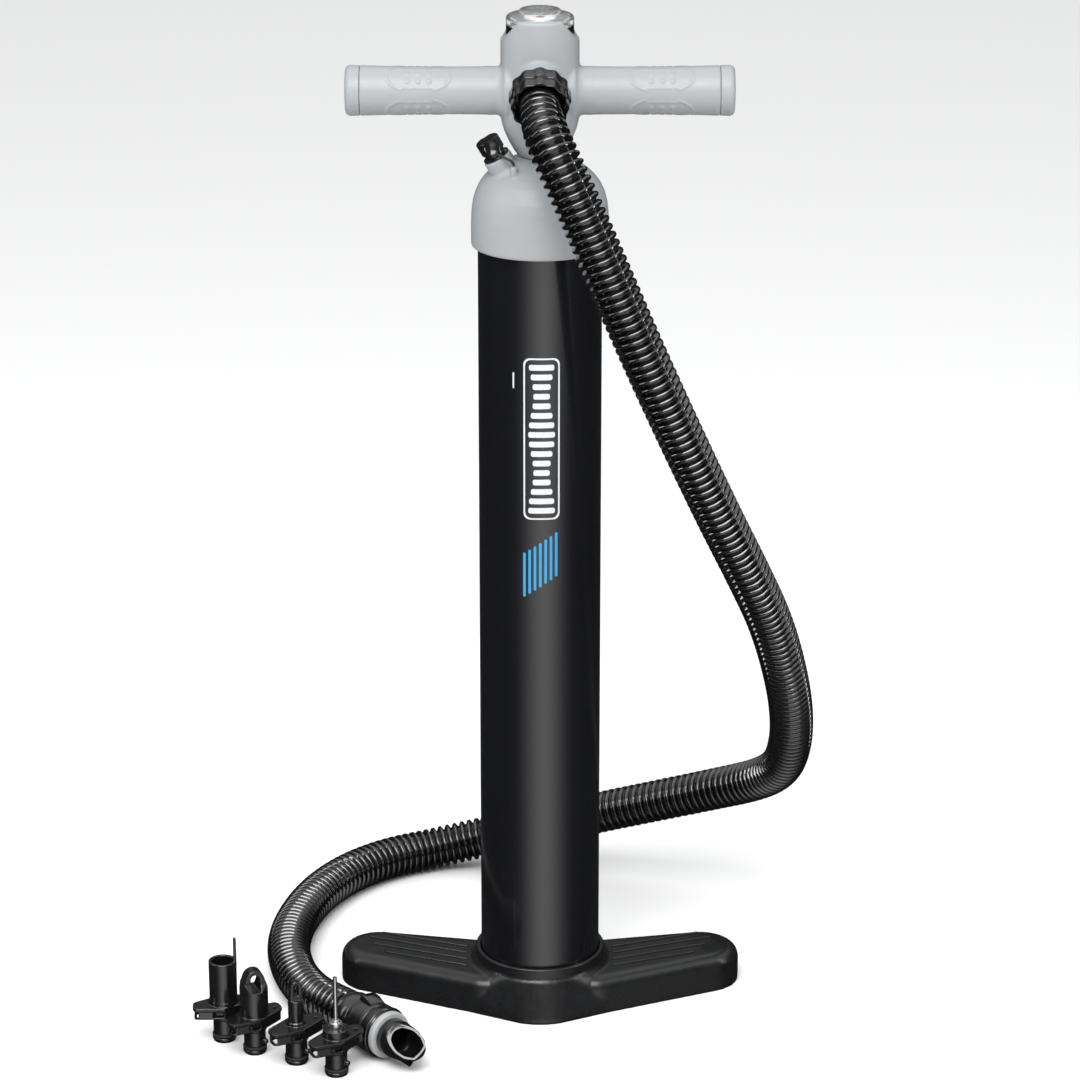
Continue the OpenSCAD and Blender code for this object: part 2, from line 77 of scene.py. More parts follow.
def axis_frame(joint, along=0.0):
    """A placement whose +Z is the joint's axis; along moves it on that axis."""
    axis = Vector(JOINTS[joint]["axis"]).normalized()
    turn = axis.to_track_quat("Z", "Y").to_matrix().to_4x4()
    at = Vector(JOINTS[joint]["pos_m"]) / MM + axis * along
    return Matrix.Translation(at) @ turn


BARREL_R = high("barrel_tube").x
DOME_TOP = high("dome_cap").z
HUB_LOW = low("hub_body").z
HUB_TOP = high("hub_body").z
GRIP_Z = (low("grip_right").z + high("grip_right").z) / 2
GRIP_INNER = low("grip_right").x
SEAM_X = high("grip_right").x
GRIP_END = high("grip_end_right").x
FOOT_TIP = high("base_foot").x
PORT = axis_frame("nut_turn", -41)
NOZZLE = axis_frame("collar_turn", -22)
PORT_END = 51
PORT_AXIS = Vector(JOINTS["nut_turn"]["axis"]).normalized()
NOZZLE_AXIS = Vector(JOINTS["collar_turn"]["axis"]).normalized()


# --- camera, floor and light ---

LENS_MM = 126.8
SENSOR_MM = 36
CAMERA_AT = (0, -2.246, 1.099)
LOOK_DOWN = 19.33


def make_camera():
    """A long lens a little above the pump, looking down at it."""
    camera = bpy.data.objects.new("camera", bpy.data.cameras.new("camera"))
    camera.data.lens = LENS_MM
    camera.data.sensor_width = SENSOR_MM
    camera.location = CAMERA_AT
    camera.rotation_euler = (math.radians(90 - LOOK_DOWN), 0, 0)
    bpy.context.scene.collection.objects.link(camera)
    bpy.context.scene.camera = camera


def area_light(name, at, aim, size, power):
    """A soft rectangular light that doesn't show itself."""
    light = bpy.data.objects.new(name, bpy.data.lights.new(name, "AREA"))
    light.data.shape = "RECTANGLE"
    light.data.size, light.data.size_y = size
    light.data.energy = power
    light.location = at
    light.rotation_mode = "QUATERNION"
    light.rotation_quaternion = (Vector(at) - Vector(aim)).to_track_quat("Z", "Y")
    light.visible_camera = False
    bpy.context.scene.collection.objects.link(light)


# Brightness of the studio's walls and ceiling, by height from straight down (0) to straight up (1)
CEILING = ((0.5, 0.02), (0.70, 0.05), (0.80, 0.5), (0.87, 1.0), (1.0, 1.0))
POOL_TOWARD = (0.12, -0.93, -0.34)
POOL_FALLOFF = 7.0
POOL_LEVEL = 1.2
STUDIO_LEVEL = 1.15


def chained(tree, source, kind, operation, operand):
    """A maths node that works on source and a fixed operand; gives its output."""
    node = tree.nodes.new(kind)
    node.operation = operation
    node.inputs[1].default_value = operand
    tree.links.new(source, node.inputs[0])
    return node.outputs["Value"]


def make_world():
    """A studio seen in the gloss: a bright ceiling, dark walls and a pool of light on the floor in front."""
    world = bpy.data.worlds.new("studio")
    bpy.context.scene.world = world
    world.use_nodes = True
    tree = world.node_tree
    direction = tree.nodes.new("ShaderNodeTexCoord").outputs["Generated"]

    split = tree.nodes.new("ShaderNodeSeparateXYZ")
    tree.links.new(direction, split.inputs[0])
    height = tree.nodes.new("ShaderNodeMapRange")
    height.inputs["From Min"].default_value = -1
    tree.links.new(split.outputs["Z"], height.inputs["Value"])
    ceiling = tree.nodes.new("ShaderNodeValToRGB")
    stops = ceiling.color_ramp.elements
    for at, level in CEILING[:-1]:
        stops.new(at)
    for stop, level in zip(stops, (CEILING[0][1],) + tuple(level for at, level in CEILING)):
        stop.color = (level, level * 1.005, level * 1.01, 1)
    tree.links.new(height.outputs[0], ceiling.inputs[0])

    facing = chained(tree, direction, "ShaderNodeVectorMath", "DOT_PRODUCT", POOL_TOWARD)
    facing = chained(tree, facing, "ShaderNodeMath", "MAXIMUM", 0.0)
    pool = chained(tree, facing, "ShaderNodeMath", "POWER", POOL_FALLOFF)
    pool = chained(tree, pool, "ShaderNodeMath", "MULTIPLY", POOL_LEVEL)

    both = tree.nodes.new("ShaderNodeVectorMath")
    both.operation = "ADD"
    tree.links.new(ceiling.outputs[0], both.inputs[0])
    tree.links.new(pool, both.inputs[1])
    background = tree.nodes["Background"]
    tree.links.new(both.outputs[0], background.inputs["Color"])
    background.inputs["Strength"].default_value = STUDIO_LEVEL


def make_floor():
    """A wide pale floor; the gloss of the pump doesn't mirror it."""
    mesh = bpy.data.meshes.new("floor")
    far = 40
    corners = [(-far, -far, 0), (far, -far, 0), (far, far, 0), (-far, far, 0)]
    mesh.from_pydata(corners, [], [(0, 1, 2, 3)])
    floor = bpy.data.objects.new("floor", mesh)
    bpy.context.scene.collection.objects.link(floor)
    floor.visible_glossy = False
    paper = bpy.data.materials.new("floor_paper")
    paper.use_nodes = True
    shader = paper.node_tree.nodes["Principled BSDF"]
    shader.inputs["Base Color"].default_value = (0.96, 0.96, 0.962, 1)
    shader.inputs["Roughness"].default_value = 0.9
    shader.inputs["Specular IOR Level"].default_value = 0.0
    mesh.materials.append(paper)


make_camera()
make_world()
make_floor()
area_light("box", (-0.25, -1.2, 1.75), (0, 0, 0.3), (1.5, 1.1), 38)
area_light("front", (0.4, -2.4, 1.5), (0, 0, 0.35), (1.6, 1.0), 5)
area_light("right", (1.9, -0.5, 1.1), (0, 0, 0.3), (0.2, 1.5), 9)
area_light("left", (-1.9, -0.5, 1.1), (0, 0, 0.3), (0.2, 1.5), 6)
bpy.context.scene.view_settings.view_transform = "Standard"


# --- materials ---


def noise(tree, place, size_mm, detail):
    """A noise whose features are about size_mm across."""
    node = tree.nodes.new("ShaderNodeTexNoise")
    node.inputs["Scale"].default_value = 1 / (size_mm * MM)
    node.inputs["Detail"].default_value = detail
    tree.links.new(place.outputs["Object"], node.inputs["Vector"])
    return node


def shaded(colour, factor):
    """The colour made lighter or darker, with full alpha."""
    return tuple(min(1.0, c * factor) for c in colour) + (1.0,)


def material(name, colour, roughness, mottle=0.05, rough_span=0.06, grain_mm=0.6, relief=0.02, **sockets):
    """A moulded or drawn surface: cloudy colour, uneven gloss and a fine relief (in mm)."""
    made = bpy.data.materials.new(name)
    made.use_nodes = True
    tree = made.node_tree
    shader = tree.nodes["Principled BSDF"]
    place = tree.nodes.new("ShaderNodeTexCoord")

    tint = tree.nodes.new("ShaderNodeMix")
    tint.data_type = "RGBA"
    tint.inputs["A"].default_value = shaded(colour, 1 - mottle)
    tint.inputs["B"].default_value = shaded(colour, 1 + mottle)
    tree.links.new(noise(tree, place, 28, 4).outputs["Fac"], tint.inputs["Factor"])
    tree.links.new(tint.outputs["Result"], shader.inputs["Base Color"])

    gloss = tree.nodes.new("ShaderNodeMapRange")
    gloss.inputs["From Min"].default_value = 0.3
    gloss.inputs["From Max"].default_value = 0.7
    gloss.inputs["To Min"].default_value = max(0.02, roughness - rough_span)
    gloss.inputs["To Max"].default_value = roughness + rough_span
    tree.links.new(noise(tree, place, 9, 5).outputs["Fac"], gloss.inputs["Value"])
    tree.links.new(gloss.outputs[0], shader.inputs["Roughness"])

    bump = tree.nodes.new("ShaderNodeBump")
    bump.inputs["Strength"].default_value = 0.6
    bump.inputs["Distance"].default_value = relief * MM
    tree.links.new(noise(tree, place, grain_mm, 3).outputs["Fac"], bump.inputs["Height"])
    tree.links.new(bump.outputs[0], shader.inputs["Normal"])
    for socket, value in sockets.items():
        shader.inputs[socket.replace("_", " ")].default_value = value
    return made


LIGHT_GREY = (0.295, 0.309, 0.32)
light_plastic = material("light_grey_plastic", LIGHT_GREY, 0.42, 0.025, relief=0.03, Specular_IOR_Level=0.4)
foot_plastic = material(
    "foot_plastic", (0.0065, 0.0068, 0.0075), 0.29, 0.12, grain_mm=1.2, Specular_IOR_Level=0.45
)
black_plastic = material(
    "black_plastic", (0.006, 0.0062, 0.0067), 0.18, 0.12, Specular_IOR_Level=0.8
)
barrel_gloss = material(
    "barrel_gloss", (0.0045, 0.0048, 0.0058), 0.24, 0.06, 0.02, 14, 0.03,
    Coat_Weight=0.6, Coat_Roughness=0.06,
)
hose_gloss = material(
    "hose_gloss", (0.003, 0.003, 0.0034), 0.08, 0.15, 0.03, 1.5, 0.01,
    Specular_IOR_Level=0.9, Coat_Weight=0.5,
)
rubber = material("rubber", (0.022, 0.022, 0.023), 0.62, 0.1, 0.1, 0.4, 0.06, Specular_IOR_Level=0.3)
grey_seal = material("grey_seal", (0.36, 0.365, 0.37), 0.5, 0.05, relief=0.04)
white_plastic = material("white_plastic", (0.72, 0.72, 0.70), 0.45, 0.03)
steel = material("steel", (0.58, 0.58, 0.57), 0.26, 0.06, 0.08, 0.5, 0.02, Metallic=1.0)
tube_metal = material("aluminium_tube", (0.68, 0.69, 0.7), 0.22, 0.04, 0.06, 0.8, 0.01, Metallic=1.0)
brass = material("brass", (0.62, 0.45, 0.18), 0.3, 0.06, 0.08, 0.5, 0.02, Metallic=1.0)
dial_white = material("dial_white", (0.82, 0.82, 0.8), 0.5, 0.03)
dial_ink = material("dial_ink", (0.02, 0.02, 0.022), 0.5, 0.1)
needle_red = material("needle_red", (0.62, 0.03, 0.02), 0.35, 0.08)
print_grey = material("print_grey", (0.58, 0.6, 0.62), 0.4, 0.04, 0.05, 0.4, 0.01)
print_blue = material("print_blue", (0.02, 0.27, 0.55), 0.4, 0.06, 0.05, 0.4, 0.01)
lens_clear = material(
    "lens_clear", (0.97, 0.98, 0.98), 0.05, 0.01, 0.03, 6, 0.01, Transmission_Weight=0.93, IOR=1.3
)


# --- mesh builders, in millimetres ---


def mesh_piece(name, points, faces):
    """A new mesh object from points in millimetres, with its faces turned outwards."""
    mesh = bpy.data.meshes.new(name)
    mesh.from_pydata([Vector(p) * MM for p in points], [], faces)
    made = bpy.data.objects.new(name, mesh)
    bpy.context.scene.collection.objects.link(made)
    bm = bmesh.new()
    bm.from_mesh(mesh)
    bmesh.ops.recalc_face_normals(bm, faces=bm.faces)
    bm.to_mesh(mesh)
    bm.free()
    return made


def turns(sides):
    """Angles at even steps of one whole turn."""
    return [2 * math.pi * k / sides for k in range(sides)]


def arc(cx, cy, r, start, stop, steps=8):
    """Points along an arc; start and stop in degrees."""
    angles = [math.radians(start + (stop - start) * i / steps) for i in range(steps + 1)]
    return [(cx + r * math.cos(a), cy + r * math.sin(a)) for a in angles]


def loft(name, rows):
    """A closed skin through rows of equally many points, each row a ring; the first follows the last."""
    count = len(rows[0])
    points = [p for row in rows for p in row]
    faces = []
    for i in range(len(rows)):
        a, b = i * count, (i + 1) % len(rows) * count
        for k in range(count):
            n = (k + 1) % count
            faces.append([a + k, a + n, b + n, b + k])
    made = mesh_piece(name, points, faces)
    bm = bmesh.new()
    bm.from_mesh(made.data)
    bmesh.ops.remove_doubles(bm, verts=bm.verts, dist=1e-7)
    bmesh.ops.dissolve_degenerate(bm, edges=bm.edges, dist=1e-8)
    bmesh.ops.recalc_face_normals(bm, faces=bm.faces)
    bm.to_mesh(made.data)
    bm.free()
    return made


def ring(r, z, place, sides):
    """Points round +Z at one radius and height."""
    return [place @ Vector((r * math.cos(a), r * math.sin(a), z)) for a in turns(sides)]


def revolve(name, outline, place=Matrix(), sides=96):
    """A closed outline of (radius, height) turned round +Z."""
    return loft(name, [ring(r, z, place, sides) for r, z in outline])


def solid_of_revolution(name, outline, place=Matrix(), sides=96):
    """An outline from the axis back to the axis, turned round +Z."""
    top, bottom = outline[-1][1], outline[0][1]
    closed = [(0, bottom)] + [p for p in outline if p[0] > 0] + [(0, top)]
    points, faces, rows = [], [], []
    for r, z in closed:
        if r == 0:
            rows.append([len(points)] * sides)
            points.append(place @ Vector((0, 0, z)))
            continue
        rows.append(range(len(points), len(points) + sides))
        points += ring(r, z, place, sides)
    for a, b in zip(rows, rows[1:]):
        for k in range(sides):
            n = (k + 1) % sides
            faces.append(list(dict.fromkeys((a[k], a[n], b[n], b[k]))))
    return mesh_piece(name, points, faces)


def rod(name, r, z0, z1, place=Matrix(), edge=0.0, sides=64):
    """A round bar along +Z with rounded ends of radius edge."""
    if not edge:
        return solid_of_revolution(name, [(0, z0), (r, z0), (r, z1), (0, z1)], place, sides)
    outline = [(0, z0)] + arc(r - edge, z0 + edge, edge, -90, 0, 4)
    outline += arc(r - edge, z1 - edge, edge, 0, 90, 4) + [(0, z1)]
    return solid_of_revolution(name, outline, place, sides)


def hull(name, points):
    """The convex skin round some points."""
    made = mesh_piece(name, points, [])
    bm = bmesh.new()
    bm.from_mesh(made.data)
    skin = bmesh.ops.convex_hull(bm, input=bm.verts)
    inside = skin["geom_interior"] + skin["geom_unused"]
    loose = {part for part in inside if isinstance(part, bmesh.types.BMVert)}
    bmesh.ops.delete(bm, geom=list(loose), context="VERTS")
    bmesh.ops.recalc_face_normals(bm, faces=bm.faces)
    bm.to_mesh(made.data)
    bm.free()
    return made


def soft_disc(x, y, r, z0, z1, edge, sides=48):
    """Points of a disc whose top edge is rounded, for hull()."""
    outline = [(r, z0)] + arc(r - edge, z1 - edge, edge, 0, 90, 6)
    return [(x + q * math.cos(a), y + q * math.sin(a), z) for q, z in outline for a in turns(sides)]


def box(name, low_corner, high_corner, place=Matrix()):
    """A box between two corners, under a placement."""
    pairs = list(zip(low_corner, high_corner))
    corners = [(x, y, z) for x in pairs[0] for y in pairs[1] for z in pairs[2]]
    return hull(name, [place @ Vector(c) for c in corners])


def applied(piece):
    """The piece with its modifiers worked into its mesh."""
    graph = bpy.context.evaluated_depsgraph_get()
    mesh = bpy.data.meshes.new_from_object(piece.evaluated_get(graph))
    piece.modifiers.clear()
    piece.data = mesh
    return piece


def remove(*pieces):
    for piece in pieces:
        bpy.data.objects.remove(piece)


def cut(piece, *cutters):
    """The piece with the cutters taken out of it."""
    for cutter in cutters:
        step = piece.modifiers.new("cut", "BOOLEAN")
        step.operation = "DIFFERENCE"
        step.solver = "MANIFOLD"
        step.object = cutter
    applied(piece)
    remove(*cutters)
    return piece


def joined(name, parts):
    """All parts in one mesh, side by side."""
    bm = bmesh.new()
    for part in parts:
        bm.from_mesh(part.data)
    mesh = bpy.data.meshes.new(name)
    bm.to_mesh(mesh)
    bm.free()
    made = bpy.data.objects.new(name, mesh)
    bpy.context.scene.collection.objects.link(made)
    remove(*parts)
    return made


def soften(piece, voxel, rounds):
    """Adds one even skin round the piece, with its inner corners filled and its edges rounded."""
    skin = piece.modifiers.new("skin", "REMESH")
    skin.mode = "VOXEL"
    skin.voxel_size = voxel * MM
    even = piece.modifiers.new("even", "SMOOTH")
    even.factor = 0.5
    even.iterations = rounds
    return piece


def fused(name, parts, voxel, rounds):
    """The parts grown into one moulding."""
    return applied(soften(joined(name, parts), voxel, rounds))


def smooth(piece, angle=40):
    """Smooth shading, broken at edges sharper than angle."""
    mesh = piece.data
    mesh.polygons.foreach_set("use_smooth", [True] * len(mesh.polygons))
    mesh.set_sharp_from_angle(angle=math.radians(angle))
    return piece


def dress(piece, surface, body, stands_for=()):
    """Gives a finished piece its material and smooth shading, puts it under its body and hides the CAD nodes
    that it stands for.
    """
    piece.data.materials.clear()
    piece.data.materials.append(surface)
    smooth(piece)
    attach(piece, body)
    if stands_for:
        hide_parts(*stands_for)
    return piece


# --- the hose ---

HOSE_R = 14.25
HOSE_ROOT = 11.4
HOSE_PITCH = 5.2
HOSE_START = PORT @ Vector((0, 0, PORT_END))
HOSE_FINISH = NOZZLE @ Vector((0, 0, -0.3))
HOSE_ROUTE = [
    (2, -61, 590), (7, -71, 578), (16, -78, 560), (36, -82, 515), (60, -79, 458), (85, -68, 400),
    (109, -52, 345), (129, -34, 300), (144, -14, 262), (155, 9, 222), (162, 36, 183), (164, 65, 148),
    (160, 93, 119), (146, 118, 99), (116, 140, 82), (80, 156, 67), (42, 171, 52), (2, 186, 36),
    (-40, 196, 22), (-76, 192, 15), (-104, 178, 14.5), (-128, 156, 14.5), (-146, 128, 14.5),
    (-158, 96, 14.5), (-165, 60, 14.5), (-165, 24, 14.5), (-157, -12, 14.5), (-144, -39, 14.8),
    (-132, -54, 15.9),
]


def smooth_line(points, lead, tail, step=1.3, rounds=60):
    """Even points on one smooth curve through the route, leaving along lead and arriving along tail."""
    chain = [points[0] - lead * 20] + points + [points[-1] + tail * 20]
    dense = []
    for a, b, c, d in zip(chain, chain[1:], chain[2:], chain[3:]):
        steps = max(2, round((c - b).length / step))
        squared = 2 * a - 5 * b + 4 * c - d
        cubed = 3 * b - 3 * c + d - a
        for i in range(steps):
            t = i / steps
            dense.append(0.5 * (2 * b + (c - a) * t + squared * t**2 + cubed * t**3))
    dense.append(points[-1])
    for _ in range(rounds):
        middle = [(p + 2 * q + r) / 4 for p, q, r in zip(dense, dense[1:], dense[2:])]
        dense = [dense[0]] + middle + [dense[-1]]
    return dense


def resampled(line, step):
    """The line's points at an even spacing close to step."""
    reach = [0.0]
    for a, b in zip(line, line[1:]):
        reach.append(reach[-1] + (b - a).length)
    count = round(reach[-1] / step)
    made, i = [], 0
    for k in range(count + 1):
        want = reach[-1] * k / count
        while i < len(line) - 2 and reach[i + 1] < want:
            i += 1
        share = (want - reach[i]) / (reach[i + 1] - reach[i])
        made.append(line[i].lerp(line[i + 1], min(1, share)))
    return made, reach[-1]


def rings_along(line, radius, sides, first_side):
    """Rings square to the line; radius(i, k) is the distance of side k of ring i."""
    rows, u = [], first_side
    for i, at in enumerate(line):
        aim = (line[min(i + 1, len(line) - 1)] - line[max(i - 1, 0)]).normalized()
        u = (u - aim * u.dot(aim)).normalized()
        v = aim.cross(u)
        row = []
        for k, a in enumerate(turns(sides)):
            row.append(at + radius(i, k) * (math.cos(a) * u + math.sin(a) * v))
        rows.append(row)
    return rows


def tube(name, rows, sides):
    """A skin over the rings, with a flat face at each end."""
    faces = []
    for i in range(len(rows) - 1):
        near, far = i * sides, (i + 1) * sides
        for k in range(sides):
            n = (k + 1) % sides
            faces.append([near + k, near + n, far + n, far + k])
    last = (len(rows) - 1) * sides
    faces += [list(range(sides)), [last + k for k in range(sides)]]
    return mesh_piece(name, [p for row in rows for p in row], faces)


def make_hose():
    """The corrugated hose: rounded rings, deep roots and a fine mould seam on two sides."""
    per_ring, sides = 10, 40
    seam_sides, seam_rise = (6, 26), 0.9
    slim_rings, slim_share = 7, 0.15
    route = [HOSE_START] + [Vector(p) for p in HOSE_ROUTE] + [HOSE_FINISH]
    line, length = resampled(smooth_line(route, PORT_AXIS, NOZZLE_AXIS), HOSE_PITCH / per_ring)

    def radius(i, k):
        crest = 0.5 + 0.5 * math.cos(2 * math.pi * (i - per_ring / 2) / per_ring)
        deep = (HOSE_R - HOSE_ROOT) * (1 - (1 - crest) ** 1.8)
        seam = seam_rise * (1 - crest) if k in seam_sides else 0.0
        slim = slim_share * max(0, 1 - i / (slim_rings * per_ring)) ** 1.5
        return (HOSE_ROOT + deep + seam) * (1 - slim)

    hose = tube("corrugated_hose", rings_along(line, radius, sides, Vector((1, 0, 0))), sides)
    hose.data.materials.append(hose_gloss)
    smooth(hose, 60)
    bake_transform(hose)
    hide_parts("hose")
    return hose, [p * MM for p in line], length * MM


hose, hose_path, hose_length = make_hose()


# --- foot ---

FOOT_H = 24
TIP = (FOOT_TIP - 24.2, 20.2, 24.2)
NOSE = (0, -15.7, 36)
REAR = (0, 12, 10)
INNER = (34.9, -15.9, 20)
COLLAR_R = 41.6
COLLAR_TOP = 34
PADS = ((FOOT_TIP - 24.2, 20.2), (70, 4))


def foot_round(x, y, r, side, z1, edge):
    return soft_disc(side * x, y, r, 0, z1, edge)


def make_foot():
    """Two treads that run into a drum round the barrel, moulded in one, hollow underneath."""
    parts = []
    for side in (-1, 1):
        tread = [foot_round(*TIP, side, FOOT_H, 8.5), foot_round(*INNER, side, FOOT_H, 8.5)]
        tread.append(foot_round(*REAR, side, FOOT_H, 6))
        parts.append(hull("tread", sum(tread, [])))
    skirt = soft_disc(*NOSE, 0, 6, 3) + soft_disc(0, 0, 43.2, 0, 26.2, 1)
    for side in (-1, 1):
        skirt += foot_round(*INNER, side, 12, 3)
    parts.append(hull("skirt", skirt))
    parts.append(rod("drum", COLLAR_R, 0, 29))
    foot = fused("foot", parts, 0.85, 9)
    collar = [(BARREL_R, 8), (BARREL_R + 0.4, 33.4)] + arc(BARREL_R + 1.1, COLLAR_TOP - 0.7, 0.7, 180, 90, 3)
    collar += arc(COLLAR_R - 1.2, COLLAR_TOP - 1.2, 1.2, 90, 0, 5) + [(COLLAR_R, 8)]
    ring = revolve("foot_collar", collar, sides=128)
    cutters = [rod("well", BARREL_R + 0.2, 8, 60, sides=128)]
    for side in (-1, 1):
        cutters += foot_hollows(side)
        for x, y in PADS:
            cutters.append(rod("pad", 8, -1, 2, Matrix.Translation((side * x, y, 0))))
    for turn in range(30, 390, 120):
        at = Matrix.Rotation(math.radians(turn), 4, "Z") @ Matrix.Translation((28, 0, 0))
        cutters += [rod("screw_head", 4.5, -1, 4, at), rod("screw_hole", 2.2, 3, 9, at)]
    for turn in range(0, 360, 60):
        at = Matrix.Rotation(math.radians(turn), 4, "Z") @ Matrix.Translation((18, 0, 0))
        cutters.append(rod("vent", 3, -1, 9, at))
    cut(foot, *cutters)
    dress(foot, foot_plastic, "barrel", ["base_foot"])
    dress(ring, foot_plastic, "barrel")


def foot_hollows(side):
    """Four cells under a wing, clear of the pads and of the cross ribs."""
    cells = []
    for near, far in ((50, 54.5), (57.5, 59.0), (81.5, 86.5), (89.5, 94.0)):
        y = -12 + 0.34 * ((near + far) / 2 - 40)
        cells.append(box("cell", (side * near, y - 12, -1), (side * far, y + 21, FOOT_H - 5)))
    return cells


def make_treads():
    """Four thin raised ribs on each wing."""
    slope = math.radians(20.4)
    inner, pitch, half = 47, 9.4, 0.9
    ribs = []
    for side in (-1, 1):
        for i, outer in enumerate((101, 108.5, 112, 104)):
            length = (outer - inner) / math.cos(slope)
            y = 15 - pitch * (3 - i)
            points = []
            for along in (half, length - half):
                at = (side * (inner + along * math.cos(slope)), y + along * math.sin(slope))
                points += soft_disc(*at, 0.95, FOOT_H - 1, FOOT_H + 0.9, 0.85, 20)
            ribs.append(hull("rib", points))
    dress(joined("foot_treads", ribs), foot_plastic, "barrel")


make_foot()
make_treads()


# --- barrel graphic: plain bars and stripes, printed on the tube ---

PRINT_SUNK = -0.05
PRINT_PROUD = 0.06


def on_tube(points, height):
    """Flat (x, z) points laid round the barrel's front at a height over its surface."""
    r = BARREL_R + height
    return [Vector((r * math.sin(x / BARREL_R), -r * math.cos(x / BARREL_R), z)) for x, z in points]


def rounded_outline(x0, x1, z0, z1, corner):
    """A rectangle with round corners and a point every 1.2 mm or so."""
    ring = []
    for quarter, (sx, sz) in enumerate(((1, 1), (-1, 1), (-1, -1), (1, -1))):
        x = (x0 + x1) / 2 + sx * ((x1 - x0) / 2 - corner)
        z = (z0 + z1) / 2 + sz * ((z1 - z0) / 2 - corner)
        ring += arc(x, z, corner, 90 * quarter, 90 * quarter + 90, 5)
    made = []
    for a, b in zip(ring, ring[1:] + ring[:1]):
        steps = max(1, round(math.dist(a, b) / 1.2))
        made += [(a[0] + (b[0] - a[0]) * i / steps, a[1] + (b[1] - a[1]) * i / steps) for i in range(steps)]
    return made


def shrunk(points, x0, x1, z0, z1, share_x, share_z):
    """The points drawn in toward the middle of a rectangle."""
    x, z = (x0 + x1) / 2, (z0 + z1) / 2
    return [(x + (px - x) * share_x, z + (pz - z) * share_z) for px, pz in points]


def printed_patch(name, x0, x1, z0, z1, corner):
    """A thin rounded patch on the barrel's front."""
    outer = rounded_outline(x0, x1, z0, z1, corner)
    rows = [on_tube(outer, PRINT_SUNK)]
    for share in (1, 0.75, 0.5, 0.25, 0.02):
        rows.append(on_tube(shrunk(outer, x0, x1, z0, z1, share, share), PRINT_PROUD))
    rows.append(on_tube(shrunk(outer, x0, x1, z0, z1, 0.02, 0.02), PRINT_SUNK))
    return loft(name, rows)


def printed_frame(name, x0, x1, z0, z1, corner, width):
    """A thin rounded outline on the barrel's front."""
    outer = rounded_outline(x0, x1, z0, z1, corner)
    inner = shrunk(outer, x0, x1, z0, z1, 1 - 2 * width / (x1 - x0), 1 - 2 * width / (z1 - z0))
    return loft(name, [
        on_tube(outer, PRINT_SUNK), on_tube(outer, PRINT_PROUD),
        on_tube(inner, PRINT_PROUD), on_tube(inner, PRINT_SUNK),
    ])


def make_graphic():
    """A light ladder of solid bars in an outline, then blue stripes: a plain pattern."""
    bars = []
    for i in range(16):
        reach = 6.6 + 1.6 * math.cos(2 * math.pi * i / 8)
        z = 341.6 + 6.1 * i
        bars.append(printed_patch("bar", 1 - reach, 1 + reach, z, z + 3.6, 1.2))
    bars.append(printed_frame("frame", -10.2, 12.2, 337.6, 440.8, 4.0, 1.0))
    dress(joined("graphic_bars", bars), print_grey, "barrel")
    stripes = []
    count, slant = 7, 2.2
    for i in range(count):
        x = -10.5 + 3.3 * i
        top = 329 - slant * (count - 1 - i)
        stripes.append(printed_patch("stripe", x, x + 1.6, 287 + slant * i, top, 0.7))
    dress(joined("graphic_stripes", stripes), print_blue, "barrel")
    tick = printed_patch("graphic_tick", -17.2, -16.2, 421, 431, 0.4)
    dress(tick, print_grey, "barrel")


make_graphic()


# --- dome and plug ---


SPOUT_MOUTH = Vector((-26, -9.5, 559))
SPOUT_AXIS = Vector(JOINTS["plug_pull"]["axis"])
SPOUT = Matrix.Translation(SPOUT_MOUTH) @ SPOUT_AXIS.to_track_quat("Z", "Y").to_matrix().to_4x4()
LUG = Vector((-15.5, -22.5, 541))


def make_dome():
    """The dome over the barrel's head, with its spout and the tether's lug grown out of it."""
    outer = [(0, 502)] + arc(40.6, 503.4, 1.4, -90, 0, 4)
    outer += [(42, 516), (41.7, 523), (40.9, 529.5), (39.4, 535.2), (37.1, 540.2), (34.1, 544.4)]
    outer += [(30.5, 548), (26.4, 551.1), (22, 553.8), (17.5, 555.8)]
    outer += arc(13.5, 555.5, 1.5, 60, 90, 3) + [(0, DOME_TOP)]
    parts = [
        solid_of_revolution("shell", outer, sides=144),
        rod("spout", 8.85, -22, 0, SPOUT, 0.6),
        rod("spout_root", 10.6, -22, -8.6, SPOUT, 0.8),
        rod("lug", 2.3, 0, 15, Matrix.Translation(LUG), 0.6),
    ]
    dome = fused("dome", parts, 0.65, 12)
    inner = [(0, 490), (BARREL_R, 490), (BARREL_R, 523), (36.5, 531), (32.5, 539), (24, 546.3), (0, 547.5)]
    cutters = [
        solid_of_revolution("room", inner),
        rod("spout_bore", 6.5, -30, 1, SPOUT),
        rod("neck", 12.5, 551, DOME_TOP + 2),
        rod("rod_hole", 10.6, 540, 552),
    ]
    dress(cut(dome, *cutters), light_plastic, "barrel", ["dome_cap"])


def make_plug():
    """The plug's stem and flange, with a short finger knob pinched on two sides."""
    stem = [(0, -7), (5.4, -7), (6.2, -6.2), (6.2, -4.2), (4.4, -4.0), (4.4, -2.2)]
    stem += [(6.2, -2), (6.2, 0.3)]
    stem += arc(7.8, 0.9, 0.6, -90, 90, 4) + [(6.4, 2.2), (6.4, 4.2)]
    stem += arc(6.6, 5.0, 0.8, -90, 0, 4) + arc(6.4, 11.7, 1.0, 0, 90, 5) + [(0, 12.7)]
    cap = solid_of_revolution("plug_stem", stem, SPOUT, 96)
    pinches = []
    for side in (-1, 1):
        place = SPOUT @ Matrix.Translation((side * 12.5, 0, 9))
        ball = [(0, -8)] + arc(0, 0, 8, -80, 80, 16) + [(0, 8)]
        pinches.append(solid_of_revolution("pinch", ball, place, 48))
    dress(cut(cap, *pinches), black_plastic, "plug", ["plug_cap"])


